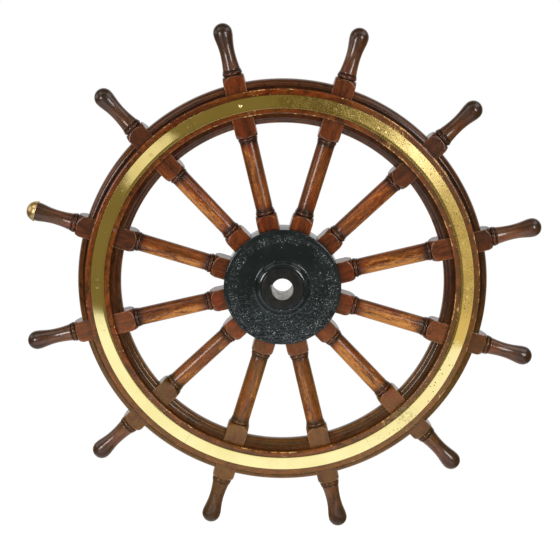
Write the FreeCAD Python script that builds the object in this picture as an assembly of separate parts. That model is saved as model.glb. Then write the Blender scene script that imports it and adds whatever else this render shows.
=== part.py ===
import FreeCAD, Part
import math
import os

# Ship's steering wheel: twelve turned spokes held between a cast-iron hub drum and its front
# plate, a felloe core between the spokes, facing rings front and rear, and a brass strip ring let
# into the front facing. Millimetres. The origin is the wheel's centre on the bore axis, in the
# middle plane of the spokes. +X is to the right, +Z is up and the front of the wheel faces -Y.

# ---- driving dimensions ----
STOCK = 28.5              # half the 57 mm square stock the spokes are turned from
SPOKE_COUNT = 12
FIRST_SPOKE_DEG = 13.1    # angle of the first spoke above the +X axis
KING_SPOKE = 6            # the spoke with the brass cap

ROOT_R = 112.0            # inner end of a spoke, inside the hub drum
HUB_BLOCK_R = 196.0       # outer end of the square hub block
SHAFT_IN_R = 211.0        # the long shaft between its two sets of beads
SHAFT_OUT_R = 394.5
SHAFT_IN_HALF = 22.9
SHAFT_OUT_HALF = 23.8
BEAD_HALF = 26.2
RIM_BLOCK_IN_R = 407.5    # the square block that runs through the rim
RIM_BLOCK_OUT_R = 572.0
NECK_R = 588.0            # handle neck, waist and bulb
NECK_HALF = 23.0
WAIST_R = 632.0
WAIST_HALF = 19.7
BULB_HALF = 25.25
TIP_R = 710.0
POMMEL_DROP = 13.2        # how far the turned end of a block drops back at its corners

FELLOE_OUT_R = 550.6      # crown of the outer nose
FELLOE_IN_R = 434.9       # crown of the inner nose

FACING_IN_R = 462.0
FACING_OUT_R = 527.0
FACING_FACE = 44.1        # distance of a facing's outer face from the middle plane
FACING_ROUND = 4.5
FACING_COUNT = 6
FACING_JOINT_DEG = 13.1

STRIP_IN_R = 476.3
STRIP_OUT_R = 510.8
STRIP_BED = 41.1          # bottom of the recess the strip lies in
STRIP_FACE = 44.9
STRIP_COUNT = 6
STRIP_JOINT_DEG = 58.4

SCREW_HEAD_R = 4.5
SCREW_SHANK_R = 2.2
SCREW_TIP = 30.0
SCREW_PITCH_R = 493.5
SCREW_OFFSETS_DEG = (1.3, 15.65, 30.0, 44.35, 58.7)

PLUG_R = 4.5
PLUG_PITCH_R = 468.2
PLUG_ANGLES_DEG = (40.7, 100.7, 160.7, 220.7, 287.3, 340.7)

DRUM_R = 157.0
PLATE_FACE = 46.5
DRUM_REAR = 38.0
BOSS_R = 57.0
BOSS_FACE = 64.0
REAR_BOSS_R = 71.0
REAR_BOSS_FACE = 42.0
BORE_R = 28.6
KEYWAY_HALF = 5.5
KEYWAY_R = 33.0
KEYWAY_DEG = 168.0

CAP_THICK = 1.9


# ---- helpers ----
def edges_along(start, steps):
    """Edges from start through each step: an end point, or (mid point, end point) for an arc."""
    edges = []
    here = start
    for step in steps:
        if isinstance(step[0], tuple):
            middle, end = step
        else:
            middle, end = None, step
        a = FreeCAD.Vector(here[0], here[1], 0)
        b = FreeCAD.Vector(end[0], end[1], 0)
        if middle is None:
            edges.append(Part.makeLine(a, b))
        else:
            edges.append(Part.Arc(a, FreeCAD.Vector(middle[0], middle[1], 0), b).toShape())
        here = end
    return edges


def outline(start, steps):
    """Closed planar face in X and Y."""
    return Part.Face(Part.Wire(edges_along(start, list(steps) + [start])))


def about_y(shape, degrees):
    """Turn a copy about the bore axis, from +X towards +Z."""
    turned = shape.copy()
    turned.rotate(FreeCAD.Vector(0, 0, 0), FreeCAD.Vector(0, 1, 0), -degrees)
    return turned


def swept(face, start_deg, span_deg):
    """Sweep a radius-and-depth section about the bore axis."""
    axis = FreeCAD.Vector(0, 1, 0)
    return about_y(face, start_deg).revolve(FreeCAD.Vector(0, 0, 0), axis, -span_deg)


def turned(face):
    """Turn a section about the spoke's own axis, which lies along +X."""
    return face.revolve(FreeCAD.Vector(0, 0, 0), FreeCAD.Vector(1, 0, 0), 360)


def disc(radius, y_low, y_high):
    return Part.makeCylinder(radius, y_high - y_low, FreeCAD.Vector(0, y_low, 0), FreeCAD.Vector(0, 1, 0))


def bar(x_low, x_high, half_y, half_z):
    corner = FreeCAD.Vector(x_low, -half_y, -half_z)
    return Part.makeBox(x_high - x_low, 2 * half_y, 2 * half_z, corner)


def save(shape, node):
    if shape.ShapeType == "Compound" and len(shape.Solids) == 1:
        shape = shape.Solids[0]
    if not shape.isValid():
        raise ValueError(node + " is not a valid shape")
    shape.exportStep(os.path.join("parts", node + ".step"))


# ---- spokes ----
def square_block(x_low, x_high, round_low, round_high):
    """Square stock whose turned ends leave an arched edge on each of the four faces."""
    corner = STOCK * math.sqrt(2) + 0.3
    lip = STOCK - 0.4
    mid = lip + 0.52 * (corner - lip)
    if round_low:
        steps = [(x_low, lip), ((x_low + 0.46 * POMMEL_DROP, mid), (x_low + POMMEL_DROP, corner))]
    else:
        steps = [(x_low, corner)]
    if round_high:
        steps += [(x_high - POMMEL_DROP, corner), ((x_high - 0.46 * POMMEL_DROP, mid), (x_high, lip))]
    else:
        steps += [(x_high, corner)]
    steps += [(x_high, 0)]
    return bar(x_low, x_high, STOCK, STOCK).common(turned(outline((x_low, 0), steps)))


def turning():
    """Everything round on a spoke: beads, shaft and handle."""
    steps = [(190, 20), (HUB_BLOCK_R, 20), (HUB_BLOCK_R, 24.3)]
    steps += [((HUB_BLOCK_R + 5.2, BEAD_HALF), (HUB_BLOCK_R + 10.4, 24.0))]
    steps += [(HUB_BLOCK_R + 11.4, 23.2)]
    steps += [((HUB_BLOCK_R + 12.9, 24.5), (SHAFT_IN_R, SHAFT_IN_HALF))]
    steps += [(SHAFT_OUT_R, SHAFT_OUT_HALF)]
    steps += [((SHAFT_OUT_R + 1.4, 24.9), (SHAFT_OUT_R + 2.8, 24.0))]
    steps += [((402.3, BEAD_HALF), (RIM_BLOCK_IN_R, 24.3))]
    steps += [(RIM_BLOCK_IN_R, 20), (RIM_BLOCK_OUT_R, 20), (RIM_BLOCK_OUT_R, 23.6), (573.4, 23.6)]
    steps += [((578.6, BEAD_HALF), (583.8, 24.2)), ((585.3, 25.0), (586.8, 23.2)), (NECK_R, NECK_HALF)]
    bulb_x = TIP_R - BULB_HALF
    curve = Part.BSplineCurve()
    points = [
        (NECK_R, NECK_HALF), (599, 21.7), (613, 20.3), (WAIST_R, WAIST_HALF),
        (649, 20.7), (664, 22.9), (675, 24.7), (bulb_x, BULB_HALF),
    ]
    slope = FreeCAD.Vector(1, -0.12, 0)
    level = FreeCAD.Vector(1, 0, 0)
    curve.interpolate([FreeCAD.Vector(x, y, 0) for x, y in points], InitialTangent=slope, FinalTangent=level)
    edges = edges_along((190, 0), steps)
    edges.append(curve.toShape())
    shoulder = FreeCAD.Vector(bulb_x, BULB_HALF, 0)
    half = BULB_HALF * math.sqrt(0.5)
    crest = FreeCAD.Vector(bulb_x + half, half, 0)
    tip = FreeCAD.Vector(TIP_R, 0, 0)
    edges.append(Part.Arc(shoulder, crest, tip).toShape())
    edges.append(Part.makeLine(tip, FreeCAD.Vector(190, 0, 0)))
    return turned(Part.Face(Part.Wire(edges)))


def spoke():
    hub_block = square_block(ROOT_R, HUB_BLOCK_R, False, True)
    rim_block = square_block(RIM_BLOCK_IN_R, RIM_BLOCK_OUT_R, True, True)
    return turning().fuse([hub_block, rim_block]).removeSplitter()


def king_cap():
    """Thin domed brass cap over the outer half of the king spoke's bulb."""
    centre = TIP_R - BULB_HALF
    out = BULB_HALF + CAP_THICK
    half_in = BULB_HALF * math.sqrt(0.5)
    half_out = out * math.sqrt(0.5)
    inner = ((centre + half_in, half_in), (TIP_R, 0))
    dome = ((centre + half_out, half_out), (centre + 3.4, math.sqrt(out * out - 3.4 * 3.4)))
    lip = ((centre + 1.8, out + 1.0), (centre + 0.2, out))
    steps = [inner, (TIP_R + CAP_THICK, 0), dome, lip, (centre, BULB_HALF + 0.6)]
    return turned(outline((centre, BULB_HALF), steps))


# ---- rim ----
def felloe(spoke_deg):
    """Core segment between one spoke block and the next, with a moulded nose inside and outside."""
    steps = [(534.6, 25.6), ((FELLOE_OUT_R, 0), (534.6, -25.6))]
    steps += [(534.0, -STOCK), (453.0, -STOCK)]
    steps += [((446.8, -25.3), (444.0, -18.6)), (443.0, -17.2)]
    steps += [((FELLOE_IN_R, 0), (443.0, 17.2)), (444.0, 18.6)]
    steps += [((446.8, 25.3), (453.0, STOCK))]
    pitch = 360.0 / SPOKE_COUNT
    whole = swept(outline((534.0, STOCK), steps), spoke_deg, pitch)
    near = about_y(bar(400, 600, 60, STOCK), spoke_deg)
    far = about_y(bar(400, 600, 60, STOCK), spoke_deg + pitch)
    return whole.cut([near, far])


def facing_section(side):
    """Facing section; side is -1 for the front, which has the recess for the brass strip."""
    soft = FACING_ROUND * (1 - math.sqrt(0.5))
    face = side * FACING_FACE
    edge = side * (FACING_FACE - FACING_ROUND)
    corner = side * (FACING_FACE - soft)
    steps = [(FACING_OUT_R, side * STOCK), (FACING_OUT_R, edge)]
    steps += [((FACING_OUT_R - soft, corner), (FACING_OUT_R - FACING_ROUND, face))]
    if side < 0:
        bed = side * STRIP_BED
        steps += [(STRIP_OUT_R, face), (STRIP_OUT_R, bed), (STRIP_IN_R, bed), (STRIP_IN_R, face)]
    steps += [(FACING_IN_R + FACING_ROUND, face), ((FACING_IN_R + soft, corner), (FACING_IN_R, edge))]
    return outline((FACING_IN_R, side * STOCK), steps)


def strip_section():
    steps = [(STRIP_OUT_R, -STRIP_BED), (STRIP_OUT_R, 0.5 - STRIP_FACE), (STRIP_OUT_R - 0.5, -STRIP_FACE)]
    steps += [(STRIP_IN_R + 0.5, -STRIP_FACE), (STRIP_IN_R, 0.5 - STRIP_FACE)]
    return outline((STRIP_IN_R, -STRIP_BED), steps)


def screw(angle_deg):
    """Countersunk brass screw, its head filed flush with the strip."""
    section = outline(
        (0, -STRIP_FACE),
        [(SCREW_HEAD_R, -STRIP_FACE), (SCREW_HEAD_R, 0.8 - STRIP_FACE), (SCREW_SHANK_R, -STRIP_BED),
         (SCREW_SHANK_R, -SCREW_TIP), (0, -SCREW_TIP)],
    )
    solid = section.revolve(FreeCAD.Vector(0, 0, 0), FreeCAD.Vector(0, 1, 0), 360)
    solid.translate(FreeCAD.Vector(SCREW_PITCH_R, 0, 0))
    return about_y(solid, angle_deg)


def plug_core(angle_deg):
    solid = disc(PLUG_R, -60, -32)
    solid.translate(FreeCAD.Vector(PLUG_PITCH_R, 0, 0))
    return about_y(solid, angle_deg)


# ---- hub ----
def hub_bore():
    """Shaft bore with its keyway, as a cutting solid."""
    bore = disc(BORE_R, -80, 80)
    corner = FreeCAD.Vector(0, -80, -KEYWAY_HALF)
    key = Part.makeBox(KEYWAY_R, 160, 2 * KEYWAY_HALF, corner)
    return bore.fuse(about_y(key, KEYWAY_DEG))


def hub_casting():
    """Drum with an open slot for each spoke, rear flange, and the boss the shaft goes through."""
    steps = [(DRUM_R, -STOCK), (DRUM_R, DRUM_REAR - 3)]
    steps += [((DRUM_R - 0.9, DRUM_REAR - 0.9), (DRUM_R - 3, DRUM_REAR)), (REAR_BOSS_R, DRUM_REAR)]
    steps += [(REAR_BOSS_R - 2, REAR_BOSS_FACE), (0, REAR_BOSS_FACE)]
    steps += [(0, -BOSS_FACE), (BOSS_R - 2.5, -BOSS_FACE), (BOSS_R, 2.5 - BOSS_FACE)]
    body = swept(outline((BOSS_R, -STOCK), steps), 0, 360)
    slots = []
    for index in range(SPOKE_COUNT):
        angle = FIRST_SPOKE_DEG + index * 360.0 / SPOKE_COUNT
        slots.append(about_y(bar(ROOT_R, DRUM_R + 20, STOCK, STOCK), angle))
    return body.cut(slots).cut(hub_bore())


def hub_front_plate():
    """Round plate that closes the slots, with a rounded collar around the boss."""
    steps = [(DRUM_R, -STOCK), (DRUM_R, 3.5 - PLATE_FACE)]
    steps += [((DRUM_R - 1.0, 1.0 - PLATE_FACE), (DRUM_R - 3.5, -PLATE_FACE))]
    steps += [(148.0, -PLATE_FACE), (146.5, 1.2 - PLATE_FACE)]
    steps += [(129.5, 1.2 - PLATE_FACE), (128.0, -PLATE_FACE)]
    steps += [(78.5, -PLATE_FACE), ((73.3, -48.3), (70.6, -52.6))]
    steps += [((67.6, -57.6), (62.4, -60.0)), (59.0, -60.0), (BOSS_R, -58.2)]
    return swept(outline((BOSS_R, -STOCK), steps), 0, 360)


# ---- assembly ----
def build():
    os.makedirs("parts", exist_ok=True)
    pitch = 360.0 / SPOKE_COUNT
    one_spoke = spoke()
    for index in range(SPOKE_COUNT):
        number = index + 1
        angle = FIRST_SPOKE_DEG + index * pitch
        name = "king_spoke" if number == KING_SPOKE else "spoke_%02d" % number
        save(about_y(one_spoke, angle), name)
        save(felloe(angle), "felloe_%02d" % number)
    save(about_y(king_cap(), FIRST_SPOKE_DEG + (KING_SPOKE - 1) * pitch), "king_spoke_cap")

    strip_span = 360.0 / STRIP_COUNT
    screws = []
    for index in range(STRIP_COUNT):
        for offset in SCREW_OFFSETS_DEG:
            screws.append(screw(STRIP_JOINT_DEG + index * strip_span + offset))
    for index in range(STRIP_COUNT):
        strip = swept(strip_section(), STRIP_JOINT_DEG + index * strip_span, strip_span)
        save(strip.cut(screws), "brass_strip_%d" % (index + 1))
    save(Part.makeCompound(screws), "brass_strip_screws")

    span = 360.0 / FACING_COUNT
    cores = [plug_core(angle) for angle in PLUG_ANGLES_DEG]
    plugs = []
    for index in range(FACING_COUNT):
        start = FACING_JOINT_DEG + index * span
        front = swept(facing_section(-1), start, span)
        for core in cores:
            plugs += front.common(core).Solids
        save(front.cut(screws + cores), "front_facing_%d" % (index + 1))
        save(swept(facing_section(1), start, span), "rear_facing_%d" % (index + 1))
    save(Part.makeCompound(plugs), "facing_plugs")

    save(hub_casting(), "hub_casting")
    save(hub_front_plate(), "hub_front_plate")


build()
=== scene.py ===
import bmesh
import bpy
import math
from mathutils import Matrix, Vector, noise


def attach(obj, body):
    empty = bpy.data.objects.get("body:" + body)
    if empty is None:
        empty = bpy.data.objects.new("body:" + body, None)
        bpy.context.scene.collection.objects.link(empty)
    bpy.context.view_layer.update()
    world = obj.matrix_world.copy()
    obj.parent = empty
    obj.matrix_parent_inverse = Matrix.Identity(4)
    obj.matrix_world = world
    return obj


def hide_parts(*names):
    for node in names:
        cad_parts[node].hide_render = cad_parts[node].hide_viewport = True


# A ship's steering wheel in a plain bright studio. Shapes are given in millimetres and
# scaled to metres when a mesh is made. A ring or spoke piece is built in its own frame,
# then turned about the bore axis (Y) to its place.

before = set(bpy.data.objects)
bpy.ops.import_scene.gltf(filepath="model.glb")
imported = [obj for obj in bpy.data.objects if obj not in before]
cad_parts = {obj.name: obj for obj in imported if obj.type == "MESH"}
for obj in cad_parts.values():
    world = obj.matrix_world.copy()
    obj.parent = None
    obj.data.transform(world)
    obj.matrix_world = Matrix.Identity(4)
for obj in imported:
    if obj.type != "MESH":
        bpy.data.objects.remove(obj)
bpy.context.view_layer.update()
MM = 0.001

# Angles run from +X towards +Z, in degrees.
STOCK = 28.5                    # half the square stock of a spoke
SPOKES = 12
FIRST_DEG = 13.1                # where the first spoke stands
PITCH_DEG = 360.0 / SPOKES
KING = 6                        # the spoke with the brass cap, counted from 1
BULB_R, BULB_HALF = 684.75, 25.22       # centre and half width of a handle's round end
SEGMENTS, SEGMENT_DEG = 6, 60   # facing pieces, and brass pieces, round the rim
BRASS_DEG = 58.4                # the first joint of the brass


# ------------------------------------------------------------------ mesh helpers
def make_mesh(name, verts, faces, sharp_deg=32):
    mesh = bpy.data.meshes.new(name)
    mesh.from_pydata([(x * MM, y * MM, z * MM) for x, y, z in verts], [], faces)
    mesh.validate()
    mesh.polygons.foreach_set("use_smooth", [True] * len(mesh.polygons))
    mesh.set_sharp_from_angle(angle=math.radians(sharp_deg))
    mesh.update()
    return mesh


def outward(mesh):
    """Face normals out, for a closed mesh."""
    bm = bmesh.new()
    bm.from_mesh(mesh)
    bmesh.ops.recalc_face_normals(bm, faces=bm.faces)
    bm.to_mesh(mesh)
    bm.free()


def place(name, mesh, degrees, slot, *nodes):
    """One piece on the root body, turned about the bore axis, standing for its CAD node.
    The attribute "own" keeps the piece's unturned coordinates for its material."""
    outward(mesh)
    own = mesh.attributes.new("own", "FLOAT_VECTOR", "POINT")
    own.data.foreach_set("vector", [c for v in mesh.vertices for c in v.co])
    mesh.transform(Matrix.Rotation(-math.radians(degrees), 4, "Y"))
    piece = bpy.data.objects.new(name, mesh)
    bpy.context.scene.collection.objects.link(piece)
    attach(piece, "root")
    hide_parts(*nodes)


def stamp_each(mesh, key, values):
    """Numbers a material reads: one value for each vertex."""
    mesh.attributes.new(key, "FLOAT", "POINT").data.foreach_set("value", values)


def stamp(mesh, **numbers):
    """Numbers a material reads: one value for the whole piece."""
    for key, number in numbers.items():
        stamp_each(mesh, key, [number] * len(mesh.vertices))


def near(value, spot, width):
    """One at the spot, falling smoothly to nothing within a few widths."""
    return math.exp(-((value - spot) / width) ** 2)


def tube(rows, wrap_rows=False):
    """Faces between rows of equal length, each row a closed ring."""
    n = len(rows[0])
    verts = [p for row in rows for p in row]
    faces = []
    last = len(rows) if wrap_rows else len(rows) - 1
    for i in range(last):
        a, b = i * n, ((i + 1) % len(rows)) * n
        for j in range(n):
            k = (j + 1) % n
            faces.append((a + j, a + k, b + k, b + j))
    return verts, faces


def swept(section, middle_deg, span_deg, inset, steps):
    """A section (radius, depth) swept about the bore axis, closed at both ends. inset is how far
    each end face stands back from its radial plane, in mm."""
    middle, half = math.radians(middle_deg), math.radians(span_deg / 2)
    rings = []
    for i in range(steps + 1):
        ring = []
        for r, y in section:
            reach = half - math.asin(inset / r)
            a = middle - reach + 2 * reach * i / steps
            ring.append((r * math.cos(a), y, r * math.sin(a)))
        rings.append(ring)
    verts, faces = tube(rings)
    n = len(section)
    faces.append(tuple(range(n)))
    faces.append(tuple(steps * n + j for j in range(n - 1, -1, -1)))
    return verts, faces


def joined(parts):
    verts, faces = [], []
    for v, f in parts:
        base = len(verts)
        verts += v
        faces += [tuple(i + base for i in face) for face in f]
    return verts, faces


def circle(sides):
    """Angles of a whole turn in equal steps, in radians."""
    return [2 * math.pi * k / sides for k in range(sides)]


def arc(cx, cy, rx, ry, a0, a1, n):
    """Points on an ellipse arc, angles in degrees."""
    out = []
    for i in range(n + 1):
        a = math.radians(a0 + (a1 - a0) * i / n)
        out.append((cx + rx * math.cos(a), cy + ry * math.sin(a)))
    return out


def flow(points, per_span):
    """Catmull-Rom curve through points."""
    pts = [Vector(p) for p in points]
    pts = [2 * pts[0] - pts[1]] + pts + [2 * pts[-1] - pts[-2]]
    out = []
    for i in range(1, len(pts) - 2):
        p0, p1, p2, p3 = pts[i - 1:i + 3]
        for j in range(per_span):
            t = j / per_span
            q = 0.5 * (2 * p1 + (p2 - p0) * t + (2 * p0 - 5 * p1 + 4 * p2 - p3) * t * t
                       + (3 * p1 - p0 - 3 * p2 + p3) * t ** 3)
            out.append((q.x, q.y))
    out.append((pts[-2].x, pts[-2].y))
    return out


# ------------------------------------------------------------------ node helpers
class Nodes:
    """Short calls for one material's node tree."""

    def __init__(self, name):
        self.material = bpy.data.materials.new(name)
        self.material.use_nodes = True
        self.tree = self.material.node_tree
        self.tree.nodes.clear()
        self.out = self.tree.nodes.new("ShaderNodeOutputMaterial")
        self.shader = self.tree.nodes.new("ShaderNodeBsdfPrincipled")
        self.tree.links.new(self.shader.outputs[0], self.out.inputs["Surface"])
        self.coords = self.tree.nodes.new("ShaderNodeTexCoord").outputs["Object"]

    def link(self, value, socket):
        if isinstance(value, bpy.types.NodeSocket):
            self.tree.links.new(value, socket)
        else:
            socket.default_value = value

    def attribute(self, name, kind="Fac"):
        node = self.tree.nodes.new("ShaderNodeAttribute")
        node.attribute_name = name
        return node.outputs[kind]

    def math(self, operation, a, b=0.0, clamp=False):
        node = self.tree.nodes.new("ShaderNodeMath")
        node.operation = operation
        node.use_clamp = clamp
        self.link(a, node.inputs[0])
        self.link(b, node.inputs[1])
        return node.outputs[0]

    def plus(self, a, b):
        return self.math("ADD", a, b)

    def minus(self, a, b):
        return self.math("SUBTRACT", a, b)

    def times(self, a, b):
        return self.math("MULTIPLY", a, b)

    def vector_math(self, operation, a, b):
        node = self.tree.nodes.new("ShaderNodeVectorMath")
        node.operation = operation
        self.link(a, node.inputs[0])
        self.link(b, node.inputs[1])
        return node.outputs["Value" if operation == "LENGTH" else "Vector"]

    def split(self, vector):
        node = self.tree.nodes.new("ShaderNodeSeparateXYZ")
        self.link(vector, node.inputs[0])
        return node.outputs

    def join(self, x, y, z):
        node = self.tree.nodes.new("ShaderNodeCombineXYZ")
        for value, socket in zip((x, y, z), node.inputs):
            self.link(value, socket)
        return node.outputs[0]

    def noise(self, vector, scale, detail=3.0, rough=0.55, distortion=0.0):
        node = self.tree.nodes.new("ShaderNodeTexNoise")
        self.link(vector, node.inputs["Vector"])
        node.inputs["Scale"].default_value = scale
        node.inputs["Detail"].default_value = detail
        node.inputs["Roughness"].default_value = rough
        node.inputs["Distortion"].default_value = distortion
        return node.outputs["Fac"]

    def cells(self, vector, scale):
        """Distance to the nearest of scattered points."""
        node = self.tree.nodes.new("ShaderNodeTexVoronoi")
        self.link(vector, node.inputs["Vector"])
        node.inputs["Scale"].default_value = scale
        return node.outputs["Distance"]

    def stretch(self, vector, scale):
        return self.vector_math("MULTIPLY", vector, scale)

    def band(self, value, low, high, to_low=0.0, to_high=1.0):
        """Smooth step of value from low to high."""
        node = self.tree.nodes.new("ShaderNodeMapRange")
        node.interpolation_type = "SMOOTHSTEP"
        self.link(value, node.inputs["Value"])
        limits = {"From Min": low, "From Max": high, "To Min": to_low, "To Max": to_high}
        for key, number in limits.items():
            node.inputs[key].default_value = number
        return node.outputs[0]

    def spot(self, x, z, r_in, r_out):
        """One inside r_in of a place on the wheel's face, none outside r_out, in metres."""
        flat = self.vector_math("MULTIPLY", self.coords, (1, 0, 1))
        away = self.vector_math("LENGTH", self.vector_math("SUBTRACT", flat, (x, 0, z)), (0, 0, 0))
        return self.band(away, r_out, r_in)

    def ramp(self, value, stops):
        node = self.tree.nodes.new("ShaderNodeValToRGB")
        self.link(value, node.inputs[0])
        elements = node.color_ramp.elements
        while len(elements) < len(stops):
            elements.new(0.5)
        for element, (position, colour) in zip(elements, stops):
            element.position = position
            element.color = (*colour, 1)
        return node.outputs[0]

    def mix(self, factor, a, b, blend="MIX"):
        node = self.tree.nodes.new("ShaderNodeMix")
        node.data_type = "RGBA"
        node.blend_type = blend
        self.link(factor, node.inputs[0])
        for value, socket in ((a, node.inputs[6]), (b, node.inputs[7])):
            self.link(value if isinstance(value, bpy.types.NodeSocket) else (*value, 1), socket)
        return node.outputs[2]

    def bump(self, height, distance, strength=1.0, after=None):
        node = self.tree.nodes.new("ShaderNodeBump")
        node.inputs["Strength"].default_value = strength
        node.inputs["Distance"].default_value = distance
        self.link(height, node.inputs["Height"])
        if after is not None:
            self.link(after, node.inputs["Normal"])
        return node.outputs[0]

    def finish(self, colour, roughness, normal=None, coat=0.0, coat_roughness=0.1, metallic=0.0, **sockets):
        s = self.shader.inputs
        self.link(colour if isinstance(colour, bpy.types.NodeSocket) else (*colour, 1), s["Base Color"])
        self.link(roughness, s["Roughness"])
        self.link(metallic, s["Metallic"])
        s["Coat Weight"].default_value = coat
        s["Coat Roughness"].default_value = coat_roughness
        if normal is not None:
            self.link(normal, s["Normal"])
            self.link(normal, s["Coat Normal"])
        for key, value in sockets.items():
            s[key.replace("_", " ")].default_value = value
        return self.material


# ------------------------------------------------------------------ materials
COAT_IOR = 1.45                 # varnish and gloss paint
RAMP_FROM, RAMP_LENGTH = 100, 620       # the stretch of a spoke that its colour ramp covers
STAIN_AT = (0.337, -0.361)      # old spill at the lower right of the rim, x and z in metres


def grain(n, along):
    """(coordinates, fine streaks, broad mottle, figure, pores), grain along one axis."""
    seed = n.attribute("seed")
    own = n.attribute("own", "Vector")
    shift = n.join(seed, n.times(seed, 1.7), n.times(seed, -2.3))
    moved = n.vector_math("ADD", own, shift)

    def along_grain(slow, fast):
        return n.stretch(moved, (slow, fast, fast) if along == "X" else (fast, fast, slow))

    streaks = n.noise(along_grain(22, 480), 1.0, 5.0, 0.65, 0.4)
    mottle = n.noise(along_grain(9, 46), 1.0, 4.0, 0.62, 0.6)
    figure = n.noise(along_grain(75, 190), 1.0, 4.0, 0.65, 0.8)
    pores = n.noise(along_grain(130, 1500), 1.0, 2.0, 0.5)
    return moved, streaks, mottle, figure, pores


def varnish(n, colour, moved, streaks, pores, marks, coat, rough, blur, sheen=0.0, relief=0.2):
    """Old varnish over wood: the grain shows through, the surface is slightly uneven and marked.
    The lower half of the wheel is tinted a lighter, duller brown: partly dust in the varnish, partly
    painted light from the bright floor below."""
    z = n.split(n.coords)[2]
    # Dust and painted light: a lighter dusty brown mixed over the lower half of the wheel.
    dust_and_light_below = n.times(n.band(z, 0.02, -0.30), n.attribute("dust_and_painted_light"))
    dust_and_light_below = n.times(dust_and_light_below, n.band(n.noise(moved, 38.0, 3.0), 0.25, 0.65, 0.45, 1.0))
    colour = n.mix(dust_and_light_below, colour, (0.235, 0.125, 0.024))
    peel = n.noise(moved, 170.0, 2.0)
    dents = n.band(n.noise(moved, 105.0, 3.0, 0.65), 0.64, 0.80)
    fibres = n.minus(n.times(streaks, 0.5), n.times(pores, 0.2))
    normal = n.bump(fibres, 0.00005 * relief, 0.5)
    height = n.minus(n.times(peel, 0.35), n.plus(dents, marks))
    normal = n.bump(height, 0.0003 * relief, 0.4, normal)
    return n.finish(colour, rough, normal, coat=coat, coat_roughness=blur,
                    Specular_IOR_Level=sheen, Coat_IOR=COAT_IOR)


def spoke_wood(name, handle):
    """Wood of the spokes. A handle is darker to its tip and has the soft sheen of much use."""
    n = Nodes(name)
    moved, streaks, mottle, figure, pores = grain(n, "X")
    x = n.split(n.attribute("own", "Vector"))[0]
    along = n.times(n.minus(x, RAMP_FROM * MM), 1 / (RAMP_LENGTH * MM))

    def at(radius):
        return (radius - RAMP_FROM) / RAMP_LENGTH

    if handle:
        base = n.ramp(along, [
            (at(588), (0.135, 0.046, 0.016)), (at(640), (0.108, 0.039, 0.015)),
            (at(664), (0.064, 0.025, 0.011)), (at(684), (0.042, 0.016, 0.008)),
            (at(708), (0.024, 0.011, 0.006)),
        ])
    else:
        block, outer_block = (0.150, 0.032, 0.006), (0.112, 0.026, 0.006)
        shaft, mid_shaft = (0.190, 0.050, 0.011), (0.235, 0.068, 0.013)
        turned = (0.075, 0.022, 0.007)
        base = n.ramp(along, [
            (at(112), block), (at(192), block), (at(197), turned), (at(210), turned),
            (at(217), shaft), (at(265), mid_shaft), (at(345), mid_shaft), (at(388), shaft),
            (at(396), turned), (at(406), turned), (at(412), outer_block), (at(566), outer_block),
            (at(573), turned), (at(587), turned),
        ])
    # Painted light from below: the side of each spoke that faces down is made lighter.
    low = n.attribute("low")
    tone = n.plus(n.band(mottle, 0.28, 0.72, 0.45, 1.42), n.band(figure, 0.3, 0.7, -0.30, 0.30))
    painted_light_below = n.plus(n.times(low, 0.26), 1.0)
    tone = n.times(tone, n.times(n.attribute("tone"), painted_light_below))
    colour = n.mix(1.0, base, n.join(tone, tone, tone), "MULTIPLY")
    redder = n.band(n.noise(moved, 17.0, 3.0, 0.6), 0.46, 0.66, 0.0, 0.6)
    colour = n.mix(redder, colour, n.mix(1.0, colour, (1.05, 0.62, 0.50), "MULTIPLY"))
    wear = n.attribute("wear")
    middle = n.times(n.band(x, 0.212, 0.25), n.band(x, 0.400, 0.36))
    # Golden patches on the middle of the shaft come from mottle, figure and wear. They are pushed to the
    # side facing down as painted light from below.
    gold = n.plus(n.times(mottle, 0.65), n.times(figure, 0.45))
    gold = n.plus(gold, n.plus(n.times(wear, 0.20), n.times(low, 0.19)))
    gold = n.times(n.band(gold, 0.64, 0.84), n.times(middle, 0.9))
    colour = n.mix(gold, colour, (0.60, 0.250, 0.050))
    colour = n.mix(n.band(streaks, 0.42, 0.72, 0.0, 0.6), colour, (0.040, 0.011, 0.005))
    colour = n.mix(n.band(pores, 0.62, 0.75, 0.0, 0.6), colour, (0.02, 0.009, 0.005))
    scratch = n.noise(n.stretch(moved, (70, 420, 420)), 1.0, 3.0, 0.7, 1.5)
    colour = n.mix(n.band(scratch, 0.66, 0.74, 0.0, 0.7), colour, (0.018, 0.008, 0.004))
    # Pale lines along the arrises and the arched ends of the blocks, broken into patches.
    patchy = n.band(n.noise(moved, 110.0, 3.0, 0.65), 0.38, 0.60, 0.15, 1.0)
    pale_marks = n.times(n.attribute("edge"), patchy)
    colour = n.mix(n.times(pale_marks, 0.45), colour, (0.46, 0.27, 0.13))
    # Painted shade and dirt: darker in the turned grooves.
    colour = n.mix(n.times(n.attribute("grime_and_shade"), 0.9), colour, (0.008, 0.005, 0.004))
    rough = n.band(mottle, 0.3, 0.7, 0.42, 0.32)
    if handle:
        return varnish(n, colour, moved, streaks, pores, gold, 0.75, rough, 0.14, 0.25, 0.12)
    return varnish(n, colour, moved, streaks, pores, gold, 0.80, rough, 0.24, 0.03, 0.25)


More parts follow.
